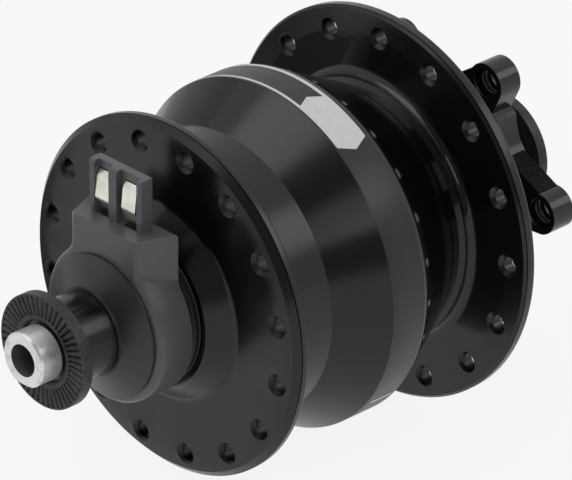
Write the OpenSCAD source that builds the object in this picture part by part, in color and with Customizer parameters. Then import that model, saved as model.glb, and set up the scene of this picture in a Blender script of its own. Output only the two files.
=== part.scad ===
// Hub dynamo for the front wheel of a bicycle, with six lugs for a disc rotor.
// The axle lies along Y. +X points forward, +Y to the disc side, +Z up to the lamp connector.
// The origin is on the axle's axis, midway between the two locknut faces.

/* [Axle] */
// Distance between the locknut faces, which is the width between the fork's slots
over_locknut = 100; // [98:1:112]
// Length of each plain end beyond the locknut face
axle_end_len = 4; // [3:0.5:6]
// Diameter of the plain ends
axle_end_d = 9; // [8:0.5:9.5]
// Bore for the quick-release rod
axle_bore_d = 5.3; // [5:0.1:6]
// Thread diameter under the locknuts
axle_thread_d = 10; // [9.8:0.1:11]
// Chamfer of the axle's ends
axle_chamfer = 0.3; // [0.1:0.1:0.6]
// Width of the groove between each plain end and the thread
thread_relief = 0.8; // [0.4:0.1:1.2]
// Depth of that groove below the plain end
relief_depth = 0.3; // [0.2:0.1:0.5]
// Depth of the flat under each plain end
axle_flat_depth = 0.44; // [0.1:0.02:0.8]
// Seat of the connector housing and its seals
housing_seat_d = 14; // [13:0.5:15]
// Height of the shoulder between the right bearing and the stator above the bearing's seat
shoulder_step = 1; // [0.6:0.1:1.4]
// Width of the groove that takes the leads out under the bearing
groove_w = 3; // [2.6:0.1:4]
// Depth of the groove below the connector housing's seat
groove_depth = 1.6; // [1.4:0.05:1.8]

/* [Locknuts] */
// Diameter of the serrated disc
locknut_disc_d = 18.8; // [18:0.2:20]
// Thickness of the serrated disc
locknut_disc_t = 1.8; // [1.4:0.1:2.6]
// Diameter of the round hub behind the disc
locknut_hub_d = 13.8; // [12.6:0.2:14]
// Length of the right locknut's hub
locknut_hub_len = 7.5; // [6:0.5:9]
// Number of radial serrations
tooth_count = 48; // [36:2:56]
// Depth of the serrations
tooth_depth = 0.35; // [0.2:0.05:0.5]
// Width of each serration's groove at the face
tooth_w = 0.62; // [0.3:0.02:0.64]
// Plain land between the thread and the teeth
tooth_land = 1; // [0.6:0.1:1.4]
// Plain rim outside the teeth
tooth_rim = 0.35; // [0.2:0.05:0.6]
// Chamfer at the mouth of each locknut's thread
locknut_chamfer = 0.3; // [0.2:0.05:0.4]

/* [Connector] */
// Length of the cone washer
cone_len = 3.3; // [2.5:0.1:4]
// Diameter of the cone washer's small end
cone_small_d = 14.4; // [14:0.2:16]
// Diameter of the cone washer's large end
cone_big_d = 23.4; // [20:0.2:23.6]
// Outer diameter of the housing's ring
housing_d = 26; // [25:0.2:28]
// Length of the housing along the axle
housing_len = 6.6; // [6.2:0.1:8]
// Rounding of the ring's outer edge
housing_edge = 1.1; // [0.6:0.1:1.4]
// Height of the block's top above the axis
block_top = 16.8; // [16:0.1:19]
// Width of the block just behind its front corners
block_front_w = 15.1; // [14:0.1:16]
// Width of the block at the back
block_back_w = 19.6; // [17:0.1:21]
// Length of the block's front corners, across and along
block_corner = [1, 0.5];
// Chamfer of the block's top edges
block_chamfer = 0.3; // [0.1:0.05:0.5]
// Radius that blends the block's sides into the ring
block_blend = 3; // [1.5:0.1:4]
// Width of the contact tower
tower_w = 11.6; // [11:0.1:13]
// Thickness of the contact tower
tower_t = 2.6; // [2.4:0.1:3.4]
// Height of the contact tower above the block
tower_h = 9; // [8:0.1:12]
// Distance of the tower behind the housing's front
tower_setback = 2.4; // [1.6:0.1:3]
// Height of the narrower foot of the tower
foot_h = 1.85; // [1:0.05:3]
// How much the foot is set in at each side
foot_inset = 0.2; // [0.05:0.05:0.4]
// Thickness of the tower's rear rib
rear_rib = 1.26; // [0.8:0.02:1.3]
// Free space beside the front contact, towards the middle rib
front_slack_in = 0.98; // [0.6:0.02:1.1]
// Free space beside the front contact, towards the front rib
front_slack_out = 0.43; // [0.2:0.01:0.6]
// Depth of both slots from the tower's front
slot_depth = 1.1; // [0.8:0.05:1.4]
// Depth of the contact pockets behind the slots
pocket_depth = 0.75; // [0.6:0.05:0.9]
// Height of the lintel that is left above each pocket
lintel_h = 1.4; // [0.8:0.1:2]
// Width of each contact spring
contact_w = 3.05; // [2.6:0.05:3.1]
// Thickness of the contact springs
contact_t = 0.3; // [0.2:0.05:0.4]
// Clearance round the contact springs
contact_play = 0.07; // [0.05:0.01:0.1]
// Diameter of each lead over its insulation
lead_d = 1; // [0.7:0.1:1.1]

/* [Dust seals] */
// How far the black seal ring stays inside the right bearing's seat
seal_inset = 0.8; // [0.5:0.1:1.2]
// Length of the black seal ring
seal_len = 2.15; // [1.6:0.05:3]
// How far the bright washer stands out of the seal ring
washer_proud = 0.05; // [0.05:0.05:0.4]
// Thickness of the bright washer's rim
washer_t = 0.2; // [0.15:0.05:0.4]
// Gap round the disc-side dust shield, inside the left bearing's seat
shield_play = 0.6; // [0.3:0.1:1]
// Thickness of the disc-side dust shield
shield_t = 0.8; // [0.6:0.1:1]
// Gap that keeps the fixed seals off the turning rings
face_gap = 0.25; // [0.2:0.05:0.4]

/* [Bearings] */
// Bore of the right bearing
right_bore_d = 17; // [16.6:0.1:17.6]
// Outside diameter of the right bearing
right_out_d = 26; // [25.6:0.1:26.6]
// Width of the right bearing
right_w = 5; // [4.8:0.1:6]
// Ball diameter of the right bearing
right_ball_d = 2.78; // [2.4:0.02:3]
// Number of balls in the right bearing
right_ball_count = 14; // [10:1:15]
// Bore of the left bearing
left_bore_d = 15; // [14.6:0.1:15.4]
// Outside diameter of the left bearing
left_out_d = 28; // [27.4:0.1:28.4]
// Width of the left bearing
left_w = 7; // [6.6:0.1:7.4]
// Ball diameter of the left bearing
left_ball_d = 3.97; // [3.5:0.01:4.2]
// Number of balls in the left bearing
left_ball_count = 11; // [8:1:12]
// Running gap round each ball
ball_gap = 0.05; // [0.03:0.01:0.08]
// Thickness of the bearings' seals
bearing_seal_t = 0.35; // [0.25:0.05:0.4]

/* [Shell] */
// Radius of the label band round the drum
band_r = 28.9; // [28:0.1:31]
// Width of the label band
band_w = 6.65; // [5:0.05:9]
// Place of the band's middle along the axle
band_mid = -0.12; // [-1:0.02:1]
// Wall of the drum's neck beside the right flange
neck_wall = 1.5; // [1.2:0.1:2.5]
// Distance from the right flange's outer face to the crease where the neck ends
neck_len = 13.46; // [12:0.02:15]
// Radius where the drum meets the left flange
root_r = 20.7; // [20:0.1:23]
// How far the bearing boss stands out past the right bearing
boss_proud = 0.2; // [0.1:0.05:0.3]
// Distance from the boss's face to the right flange's outer face
boss_len = 3.34; // [3:0.02:4]
// Width of the boss's front edge
boss_lip = 0.25; // [0.15:0.05:0.6]
// Slope of the boss's cone from the axis
boss_slope = 45; // [35:1:55]
// Radius of the fillet round the boss
boss_fillet = 1.5; // [0.8:0.1:2]
// Thickness of the right flange at its root
right_flange_t = 2.96; // [2.6:0.02:3.4]
// Distance from the right flange's spoke circle to its rim
right_rim_w = 3.64; // [3:0.02:5]
// Distance from the left locknut face to the left flange's inner face
left_flange_at = 28.9; // [28:0.1:30]
// Thickness of the left flange at its root
left_flange_t = 3; // [2.6:0.1:3.4]
// Distance from the left flange's spoke circle to its rim
left_rim_w = 3.8; // [3:0.1:5]
// How much each flange's faces draw in between the spoke holes and the rim
rim_draw = 0.5; // [0.2:0.05:0.7]
// Chamfer of the flanges' rims
rim_chamfer = 0.25; // [0.1:0.05:0.4]
// Bore of the drum, where the end cap and the flux ring are pressed in
drum_bore_r = 22.2; // [22:0.05:22.4]
// Length of the end cap's spigot in the drum
spigot_len = 3.9; // [3.4:0.1:4.5]
// Clearance of parts that are pressed or screwed together
seat_gap = 0.02; // [0.01:0.01:0.05]

/* [Spokes] */
// Spoke holes in each flange
spoke_count = 16; // [12:2:18]
// Distance from the drum's neck to the right flange's spoke circle
right_spoke_out = 2.3; // [2.1:0.05:3.5]
// Pitch circle of the left flange's spoke holes
left_spoke_pcd = 58; // [57:0.5:60]
// Diameter of the spoke holes
spoke_hole_d = 2.6; // [2.4:0.1:3]
// Width of the chamfer round each spoke hole
spoke_chamfer = 0.6; // [0.3:0.05:0.8]

/* [Disc rotor mount] */
// Distance from the left locknut face to the rotor's seat
rotor_at = 10.5; // [10.3:0.1:11]
// Bolt circle of the six rotor screws
rotor_pcd = 44; // [43:0.5:45]
// Thickness of the lugs
lug_t = 4.3; // [3.6:0.1:5]
// Radius of the lugs round their screws
lug_r = 3.5; // [3.2:0.1:4]
// Core diameter of the lugs' screw threads
lug_hole_d = 4.2; // [4:0.1:4.4]
// Angle of the first lug
lug_angle = 3.75; // [0:0.25:11]
// Wall between the left bearing's seat and the valleys between the lugs
valley_wall = 2.7; // [2.4:0.1:3.5]
// Radius of the web between the lugs
web_r = 18.8; // [18.4:0.1:19.4]
// Slope in degrees of the rib along one side of each lug
rib_slope = 29; // [26:1:32]
// How far the rib's two faces lie below the lug's faces
rib_step = 0.15; // [0.1:0.05:0.3]
// How far the rib's foot reaches inside the valley
rib_root = 2; // [1.8:0.1:2.2]
// Curve radius of the valleys
valley_curve = 8.5; // [7:0.1:8.8]
// How far the collar behind the lugs stays inside their valleys
collar_inset = 0.5; // [0.3:0.1:0.8]

/* [Generator] */
// Length of the stator over its two pole plates
stator_len = 22; // [20:0.5:23]
// Place of the stator's middle along the axle
stator_mid = -2.5; // [-3.5:0.1:-2]
// Thickness of the flux ring
iron_t = 1.9; // [1.5:0.1:2.1]
// Thickness of the magnets
magnet_t = 2.4; // [2:0.1:2.8]
// Gap between two neighbouring magnets
magnet_gap = 0.2; // [0.1:0.05:0.4]
// Air gap between the magnets and the pole fingers
air_gap = 0.4; // [0.3:0.05:0.6]
// Number of magnetic poles, half of them on each pole plate
pole_count = 28; // [24:4:32]
// Thickness of the pole fingers
finger_t = 1.5; // [1.2:0.1:1.8]
// Width of the pole fingers
finger_w = 2.4; // [1.8:0.1:2.6]
// Distance of the finger tips from the other plate's outer face
finger_short = 1; // [0.6:0.1:2]
// Thickness of the pole plates
plate_t = 2.2; // [1.6:0.1:2.6]
// Wall of the iron core between the plates
core_wall = 2.4; // [2:0.1:2.8]
// Wall of the coil's bobbin
bobbin_wall = 0.8; // [0.6:0.1:1.2]
// How far the coil stays below the bobbin's rim
coil_below = 0.4; // [0.2:0.1:0.8]
// Diameter of the slotted nut that clamps the stator
stator_nut_d = 22; // [21:0.5:26]
// Length of the slotted nut
stator_nut_t = 4; // [3:0.5:5]
// Wall of the spacer tube between the nut and the left bearing
spacer_wall = 1.8; // [1.4:0.1:2.4]

/* [Hidden] */
$fn = 96;

// Margin by which a cut runs past the face that it opens
past = 1;

// Places along the axle, from the right locknut face at -Y
right_face = -over_locknut / 2;
right_end = right_face - axle_end_len;
right_hub_y = right_face + locknut_disc_t;
cone_y = right_hub_y + locknut_hub_len;
housing_y = cone_y + cone_len;
seal_y = housing_y + housing_len;
washer_y = seal_y + seal_len;
right_bearing_y = washer_y + washer_t + face_gap;
right_bearing_end = right_bearing_y + right_w;
boss_y = right_bearing_y - boss_proud;
right_flange_y = boss_y + boss_len;
right_flange_back = right_flange_y + right_flange_t;
crease_y = right_flange_y + neck_len;

// Places along the axle, from the left locknut face at +Y
left_face = over_locknut / 2;
left_end = left_face + axle_end_len;
rotor_y = left_face - rotor_at;
left_bearing_end = rotor_y - shield_t - 2 * face_gap;
left_bearing_y = left_bearing_end - left_w;
left_flange_y = left_face - left_flange_at;
left_flange_back = left_flange_y + left_flange_t;
left_hub_y = left_face - locknut_disc_t;
root_len = 2.2;
root_y = left_flange_y - root_len;

// Places of the drum and the generator
band_start = band_mid - band_w / 2;
band_end = band_mid + band_w / 2;
stator_y = stator_mid - stator_len / 2;
stator_end = stator_mid + stator_len / 2;
nut_end = stator_end + stator_nut_t;
iron_r = drum_bore_r - iron_t;
magnet_r = iron_r - magnet_t;
pole_r = magnet_r - air_gap;
finger_r = pole_r - finger_t;
bobbin_clear = 0.4;
bobbin_r = finger_r - bobbin_clear;
coil_r = bobbin_r - coil_below;
plate_inset = 0.7;
plate_r = finger_r - plate_inset;
core_r = left_bore_d / 2 + core_wall;
spool_r = core_r + bobbin_wall;
core_y = stator_y + plate_t;
core_end = stator_end - plate_t;
flux_len = stator_len - 1;
shell_shoulder_y = stator_mid + flux_len / 2;

// Radii that several parts share
thread_r = axle_thread_d / 2;
thread_bore_r = thread_r + seat_gap;
seat_bore_r = housing_seat_d / 2 + seat_gap;
left_seat_r = left_bore_d / 2;
right_seat_r = right_bore_d / 2;
shoulder_r = right_seat_r + shoulder_step;
sleeve_bore_r = left_seat_r + seat_gap;
groove_floor = housing_seat_d / 2 - groove_depth;
left_bore_r = left_out_d / 2;
right_bore_r = right_out_d / 2;
seal_r = right_bore_r - seal_inset;
neck_r = drum_bore_r + neck_wall;
right_spoke_r = neck_r + right_spoke_out;
left_spoke_r = left_spoke_pcd / 2;
valley_r = left_bore_r + valley_wall;

// Turns an outline of [radius, place along Y] points about the axle
module turned(outline) {
    rotate([-90, 0, 0]) rotate_extrude() polygon(outline);
}

// Plain ring from y0 to y1
module ring(r_in, r_out, y0, y1) {
    turned([[r_in, y0], [r_out, y0], [r_out, y1], [r_in, y1]]);
}

// Round bar or drill along Y
module bar(r, y0, y1) {
    translate([0, y0, 0]) rotate([-90, 0, 0]) cylinder(r = r, h = y1 - y0);
}

// Turns its children from +X towards +Z
module at_angle(angle) {
    rotate([0, -angle, 0]) children();
}

// Block between two corners
module block(low, high) {
    translate(low) cube(high - low);
}

// Spoke or screw holes on a circle, each with a chamfer at both faces
module hole_circle(r, count, first, hole_d, chamfer, y0, y1) {
    for (i = [0 : count - 1])
        at_angle(first + i * 360 / count) translate([r, 0, 0]) {
            bar(hole_d / 2, y0 - past, y1 + past);
            turned([[0, y0 - past], [hole_d / 2 + chamfer + past, y0 - past],
                    [hole_d / 2, y0 + chamfer], [0, y0 + chamfer]]);
            turned([[0, y1 + past], [hole_d / 2 + chamfer + past, y1 + past],
                    [hole_d / 2, y1 - chamfer], [0, y1 - chamfer]]);
        }
}

// Radial V grooves in a face at y, cut towards +Y for way = 1 and towards -Y for way = -1
module serrations(y, way) {
    stand = 0.05;
    r0 = thread_r + tooth_land;
    r1 = locknut_disc_d / 2 - tooth_rim;
    for (i = [0 : tooth_count - 1])
        at_angle(i * 360 / tooth_count) translate([r0, y, 0])
            rotate([90, 0, 90]) linear_extrude(height = r1 - r0)
                polygon([[-way * stand, -tooth_w / 2], [-way * stand, tooth_w / 2],
                         [way * tooth_depth, 0]]);
}

module axle() {
    flat_z = axle_end_d / 2 - axle_flat_depth;
    relief_r = axle_end_d / 2 - relief_depth;
    color("silver") difference() {
        turned([
            [0, right_end], [axle_end_d / 2 - axle_chamfer, right_end],
            [axle_end_d / 2, right_end + axle_chamfer],
            [axle_end_d / 2, right_face], [relief_r, right_face],
            [relief_r, right_face + thread_relief],
            [thread_r, right_face + thread_relief], [thread_r, housing_y], [housing_seat_d / 2, housing_y],
            [housing_seat_d / 2, right_bearing_y], [right_seat_r, right_bearing_y],
            [right_seat_r, right_bearing_end], [shoulder_r, right_bearing_end],
            [shoulder_r, stator_y], [left_seat_r, stator_y], [left_seat_r, left_bearing_end],
            [thread_r, left_bearing_end], [thread_r, left_face - thread_relief],
            [relief_r, left_face - thread_relief],
            [relief_r, left_face], [axle_end_d / 2, left_face],
            [axle_end_d / 2, left_end - axle_chamfer],
            [axle_end_d / 2 - axle_chamfer, left_end], [0, left_end]
        ]);
        bar(axle_bore_d / 2, right_end - past, left_end + past);
        block([-groove_w / 2, housing_y, groove_floor],
              [groove_w / 2, stator_y, shoulder_r + past]);
        block([-axle_end_d, right_end - past, -axle_end_d],
              [axle_end_d, right_face, -flat_z]);
        block([-axle_end_d, left_face, -axle_end_d],
              [axle_end_d, left_end + past, -flat_z]);
    }
}

module right_locknut() {
    color("#3a3b3d") difference() {
        turned([[thread_bore_r, right_face + locknut_chamfer],
                [thread_bore_r + locknut_chamfer, right_face], [locknut_disc_d / 2, right_face],
                [locknut_disc_d / 2, right_hub_y], [locknut_hub_d / 2, right_hub_y],
                [locknut_hub_d / 2, cone_y], [thread_bore_r, cone_y]]);
        serrations(right_face, 1);
    }
}

module left_locknut() {
    start = left_bearing_end + face_gap + shield_t;
    color("#3a3b3d") difference() {
        turned([[thread_bore_r, start], [locknut_hub_d / 2, start],
                [locknut_hub_d / 2, left_hub_y], [locknut_disc_d / 2, left_hub_y],
                [locknut_disc_d / 2, left_face], [thread_bore_r + locknut_chamfer, left_face],
                [thread_bore_r, left_face - locknut_chamfer]]);
        serrations(left_face, -1);
    }
}

module cone_washer() {
    lip = 0.5;
    color("#1c1d1f") turned([
        [thread_bore_r, cone_y], [cone_small_d / 2, cone_y], [cone_small_d / 2, cone_y + lip],
        [cone_big_d / 2, housing_y - lip], [cone_big_d / 2, housing_y], [thread_bore_r, housing_y]
    ]);
}

// Outline of the connector housing across the axle, as [x, z] points, at one place along it:
// half is the block's half width there and r the ring's radius
function blend_height(half, r) =
    sqrt(pow(r + block_blend, 2) - pow(half + block_blend, 2));
function side_outline(half, r) =
    let (
        height = blend_height(half, r),
        reach = atan2(height, half + block_blend),
        blend_steps = 6,
        ring_steps = 30
    ) concat(
        [[half - block_chamfer, block_top], [half, block_top - block_chamfer]],
        [for (i = [0 : blend_steps])
            let (a = 180 + reach * i / blend_steps)
                [half + block_blend + block_blend * cos(a), height + block_blend * sin(a)]],
        [for (i = [1 : ring_steps])
            let (a = reach - (reach + 90) * i / ring_steps) [r * cos(a), r * sin(a)]]
    );
function reversed(points) = [for (i = [len(points) - 1 : -1 : 0]) points[i]];
function housing_outline(half, r) =
    let (side = side_outline(half, r))
        concat(side, [for (p = reversed([for (i = [0 : len(side) - 2]) side[i]])) [-p[0], p[1]]]);

// Stations of the housing along the axle, as [y, half width of the block, ring radius]
housing_r = housing_d / 2;
function half_width(y) =
    block_front_w / 2 + (block_back_w - block_front_w) / 2
        * (y - housing_y - block_corner[1]) / (housing_len - block_corner[1]);
edge_steps = 4;
length_steps = 3;
housing_stations = concat(
    [[housing_y, block_front_w / 2 - block_corner[0], housing_r - housing_edge]],
    [for (i = [1 : edge_steps])
        let (a = 90 * i / edge_steps, y = housing_y + housing_edge * (1 - cos(a)))
            [y, y < housing_y + block_corner[1]
                ? block_front_w / 2 - block_corner[0] * (1 - (y - housing_y) / block_corner[1])
                : half_width(y),
             housing_r - housing_edge * (1 - sin(a))]],
    [for (i = [1 : length_steps])
        let (y = housing_y + housing_edge + (housing_len - housing_edge) * i / length_steps)
            [y, half_width(y), housing_r]]
);

// Closed skin through outlines that all have the same number of points.
// The second half of every outline mirrors the first, so its faces are split the other way.
module skin(stations) {
    rings = [for (s = stations) [for (p = housing_outline(s[1], s[2])) [p[0], s[0], p[1]]]];
    count = len(rings[0]);
    last = len(rings) - 1;
    polyhedron(
        points = [for (r = rings) for (p = r) p],
        faces = concat(
            [[for (i = [0 : count - 1]) i]],
            [for (k = [0 : last - 1], i = [0 : count - 1])
                let (a = k * count + i, b = k * count + (i + 1) % count)
                    i < count / 2 ? [a, a + count, b] : [a, b + count, b]],
            [for (k = [0 : last - 1], i = [0 : count - 1])
                let (a = k * count + i, b = k * count + (i + 1) % count)
                    i < count / 2 ? [b, a + count, b + count] : [a, a + count, b + count]],
            [[for (i = [count - 1 : -1 : 0]) last * count + i]]
        )
    );
}

// Places in the connector that the housing, the contacts and the leads share
tower_y = housing_y + tower_setback;
slot_y = tower_y + slot_depth;
pocket_y = slot_y + pocket_depth;
tower_top = block_top + tower_h;
pocket_top = tower_top - lintel_h;
contact_tail = 2.4;
contact_foot = block_top - contact_tail;
contact_back = 0.1;
rear_slot = [rear_rib - tower_w / 2, rear_rib - tower_w / 2 + contact_w + 2 * contact_play];
contact_x = -(rear_slot[0] + rear_slot[1]) / 2;
front_slot = [contact_x - contact_w / 2 - front_slack_in, contact_x + contact_w / 2 + front_slack_out];
chamber_roof = 1.5;
chamber_top = block_top - chamber_roof;
chamber_room = 0.5;
chamber_y0 = slot_y - chamber_room;
chamber_y1 = pocket_y + chamber_room;

// Body of the tower between two heights, with its front corners taken off
module tower_part(half, z0, z1) {
    edge = 0.3;
    translate([0, 0, z0]) linear_extrude(height = z1 - z0) polygon([
        [-half, tower_y + edge], [-half + edge, tower_y], [half - edge, tower_y],
        [half, tower_y + edge], [half, tower_y + tower_t], [-half, tower_y + tower_t]
    ]);
}

module connector_housing() {
    half = tower_w / 2;
    bevel = 0.45;
    color("#64656a") difference() {
        union() {
            skin(housing_stations);
            tower_part(half - foot_inset, block_top - past, block_top + foot_h);
            tower_part(half, block_top + foot_h, tower_top);
        }
        bar(seat_bore_r, housing_y - past, seal_y + past);
        // Front bevel of the tower's top
        translate([0, tower_y, tower_top]) rotate([45, 0, 0])
            cube([tower_w + past, bevel * sqrt(2), bevel * sqrt(2)], center = true);
        // The two slots, and the pockets that hold the contacts under their lintels
        for (slot = [rear_slot, front_slot])
            block([slot[0], tower_y - past, block_top], [slot[1], slot_y, tower_top + past]);
        for (side = [-1, 1])
            translate([side * contact_x, 0, 0])
                block([-contact_w / 2 - contact_play, slot_y - past / 2, contact_foot - past],
                      [contact_w / 2 + contact_play, pocket_y, pocket_top]);
        // Chamber for the leads, and the way up from the axle's groove
        block([-contact_x - contact_w / 2, chamber_y0, seat_bore_r + past],
              [contact_x + contact_w / 2, chamber_y1, chamber_top]);
        block([-groove_w / 2, chamber_y0, 0],
              [groove_w / 2, chamber_y1, seat_bore_r + 2 * past]);
    }
}

// Outline of a bent strip along a path, with mitred bends
function unit(v) = v / norm(v);
function across(v) = [-v[1], v[0]];
function bend_normal(path, i) =
    let (
        before = unit(path[max(i, 1)] - path[max(i, 1) - 1]),
        after = unit(path[min(i + 1, len(path) - 1)] - path[min(i, len(path) - 2)]),
        middle = unit(before + after)
    ) across(middle) / (middle * after);
function strip(path, t) = concat(
    [for (i = [0 : len(path) - 1]) path[i] + bend_normal(path, i) * t / 2],
    [for (i = [len(path) - 1 : -1 : 0]) path[i] - bend_normal(path, i) * t / 2]
);

// Contact spring: its tip is tucked behind the lintel, its belly stands forward in the slot
module contact(side) {
    back_y = pocket_y - contact_t / 2 - contact_back;
    belly_y = tower_y + 0.4;
    belly_z = block_top + 3.2;
    soft = 0.17;
    knee = 0.65;
    path = [
        [back_y, contact_foot], [back_y, block_top - soft], [back_y - soft, block_top + knee],
        [belly_y + soft, belly_z - knee], [belly_y, belly_z], [belly_y + soft, belly_z + knee],
        [back_y - soft, pocket_top - knee], [back_y, pocket_top - soft]
    ];
    color("#c8cac8") translate([side * contact_x - contact_w / 2, 0, 0])
        rotate([90, 0, 90]) linear_extrude(height = contact_w) polygon(strip(path, contact_t));
}

module rear_contact() {
    contact(-1);
}

module front_contact() {
    contact(1);
}

// Round tube along a list of points
module tube(points, r) {
    sides = 8;
    last = len(points) - 1;
    rings = [for (i = [0 : last])
        let (
            way = unit(points[min(i + 1, last)] - points[max(i - 1, 0)]),
            u = unit(cross(way, [1, 0, 0])),
            v = cross(way, u)
        ) [for (k = [0 : sides - 1])
            points[i] + r * (cos(k * 360 / sides) * u + sin(k * 360 / sides) * v)]];
    polyhedron(
        points = [for (q = rings) for (p = q) p],
        faces = concat(
            [[for (k = [sides - 1 : -1 : 0]) k]],
            [for (i = [0 : last - 1], k = [0 : sides - 1])
                let (a = i * sides + k, b = i * sides + (k + 1) % sides) [a, b, a + sides]],
            [for (i = [0 : last - 1], k = [0 : sides - 1])
                let (a = i * sides + k, b = i * sides + (k + 1) % sides) [b, b + sides, a + sides]],
            [[for (k = [0 : sides - 1]) last * sides + k]]
        )
    );
}

// Path with every corner replaced by a curve that starts at the given distance from it
function curved(path, reach) = concat(
    [path[0]],
    [for (i = [1 : len(path) - 2])
        let (before = path[i] + reach * unit(path[i - 1] - path[i]),
             after = path[i] + reach * unit(path[i + 1] - path[i]))
            for (t = [0, 0.35, 0.65, 1])
                pow(1 - t, 2) * before + 2 * t * (1 - t) * path[i] + t * t * after],
    [path[len(path) - 1]]
);

// The two leads run from the coil, down into the axle's groove and up to the contacts
lead_clear = 0.15;
lead_z = groove_floor + lead_d / 2 + lead_clear;
lead_x = lead_d / 2 + 0.12;
lead_start_z = spool_r + 1.6;
lead_out = 2;
lead_curve = 1;
module lead_wires() {
    up_y = pocket_y - contact_t / 2 - contact_back;
    spread_z = seat_bore_r + 2.2;
    end_z = contact_foot - lead_clear;
    last_len = 1.3 * lead_curve;
    for (side = [-1, 1])
        color(side < 0 ? "#b03a2e" : "#202124") tube(curved([
            [side * lead_x, core_y + bobbin_wall - lead_clear, lead_start_z],
            [side * lead_x, stator_y - lead_out, lead_start_z],
            [side * lead_x, stator_y - lead_out, lead_z],
            [side * lead_x, up_y, lead_z],
            [side * lead_x, up_y, spread_z],
            [side * contact_x, up_y, end_z - last_len],
            [side * contact_x, up_y, end_z]
        ], lead_curve), lead_d / 2);
}

module seal_ring() {
    groove = 0.3;
    middle = (seal_y + washer_y) / 2;
    color("#151617") turned([
        [seat_bore_r, seal_y], [seal_r, seal_y], [seal_r, middle - groove],
        [seal_r - groove, middle], [seal_r, middle + groove], [seal_r, washer_y],
        [seat_bore_r, washer_y]
    ]);
}

module seal_washer() {
    hub_r = right_seat_r + 1;
    rim_r = seal_r + washer_proud;
    color("silver") turned([
        [seat_bore_r, washer_y], [rim_r, washer_y], [rim_r, washer_y + washer_t],
        [hub_r, washer_y + washer_t], [hub_r, right_bearing_y], [seat_bore_r, right_bearing_y]
    ]);
}

module dust_shield() {
    hub_r = left_seat_r + 1.5;
    rim_r = left_bore_r - shield_play;
    start = left_bearing_end + face_gap;
    color("#151617") turned([
        [thread_bore_r, left_bearing_end], [hub_r, left_bearing_end], [hub_r, start],
        [rim_r, start], [rim_r, start + shield_t],
        [thread_bore_r, start + shield_t]
    ]);
}

module stator_nut() {
    slot_w = 3;
    slot_depth_r = 1.6;
    color("#8a8d91") difference() {
        ring(sleeve_bore_r, stator_nut_d / 2, stator_end, nut_end);
        for (i = [0 : 3])
            at_angle(45 + i * 90)
                block([stator_nut_d / 2 - slot_depth_r, stator_end - past, -slot_w / 2],
                      [stator_nut_d / 2 + past, nut_end + past, slot_w / 2]);
    }
}

module spacer_tube() {
    color("#9a9da1") ring(sleeve_bore_r, left_seat_r + spacer_wall, nut_end, left_bearing_y);
}

module core_sleeve() {
    color("#6d7175") ring(sleeve_bore_r, core_r, core_y, core_end);
}

// Gap in the bobbin and the pole plate through which the leads come out
module lead_gap(y0, y1) {
    reach = lead_d / 2 + lead_clear;
    block([-lead_x - reach, y0, lead_start_z - reach], [lead_x + reach, y1, lead_start_z + reach]);
}

module coil_bobbin() {
    bore_r = core_r + seat_gap;
    color("#2f5f8a") difference() {
        turned([
            [bore_r, core_y], [bobbin_r, core_y], [bobbin_r, core_y + bobbin_wall],
            [spool_r, core_y + bobbin_wall], [spool_r, core_end - bobbin_wall],
            [bobbin_r, core_end - bobbin_wall], [bobbin_r, core_end], [bore_r, core_end]
        ]);
        lead_gap(core_y - past, core_y + bobbin_wall);
    }
}

module coil_winding() {
    color("#b8703a") ring(spool_r + seat_gap, coil_r, core_y + bobbin_wall + seat_gap,
                          core_end - bobbin_wall - seat_gap);
}

// One pole plate: a disc with fingers that reach between those of the other plate.
// The plate lies from y0 to y0 + way * plate_t, and its fingers point the same way.
module pole_plate(y0, way, first) {
    low = way > 0 ? y0 : y0 - plate_t;
    tip = y0 + way * (stator_len - finger_short);
    ring(sleeve_bore_r, plate_r, low, low + plate_t);
    intersection() {
        union() {
            ring(plate_r - 1, pole_r, low, low + plate_t);
            ring(finger_r, pole_r, min(y0, tip), max(y0, tip));
        }
        for (i = [0 : pole_count / 2 - 1])
            at_angle(first + i * 720 / pole_count)
                block([plate_r - past - past, min(y0, tip) - past, -finger_w / 2],
                      [pole_r + past, max(y0, tip) + past, finger_w / 2]);
    }
}

module right_pole_plate() {
    color("#74787c") difference() {
        pole_plate(stator_y, 1, 0);
        lead_gap(stator_y - past, core_y + past);
    }
}

module left_pole_plate() {
    color("#74787c") pole_plate(stator_end, -1, 360 / pole_count);
}

// Radii inside a bearing: the pitch circle of its balls and the lands on both sides of them
function pitch_r(bore_d, out_d) = (bore_d + out_d) / 4;
function ball_angle(i, count) = (i + 0.5) * 360 / count;
land_share = 0.3;

module groove(bore_d, out_d, w, ball_d, y0) {
    translate([0, y0 + w / 2, 0]) rotate([-90, 0, 0]) rotate_extrude()
        translate([pitch_r(bore_d, out_d), 0]) circle(r = ball_d / 2 + ball_gap);
}

module inner_ring(bore_d, out_d, w, ball_d, y0) {
    color("#b9bcbf") difference() {
        ring(bore_d / 2 + seat_gap / 2, pitch_r(bore_d, out_d) - land_share * ball_d, y0, y0 + w);
        groove(bore_d, out_d, w, ball_d, y0);
    }
}

module outer_ring(bore_d, out_d, w, ball_d, y0) {
    color("#a9acaf") difference() {
        ring(pitch_r(bore_d, out_d) + land_share * ball_d, out_d / 2 - seat_gap / 2, y0, y0 + w);
        groove(bore_d, out_d, w, ball_d, y0);
    }
}

module balls(bore_d, out_d, w, ball_d, count, y0) {
    color("#d5d7d9")
        for (i = [0 : count - 1])
            at_angle(ball_angle(i, count))
                translate([pitch_r(bore_d, out_d), y0 + w / 2, 0]) sphere(d = ball_d);
}

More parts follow.
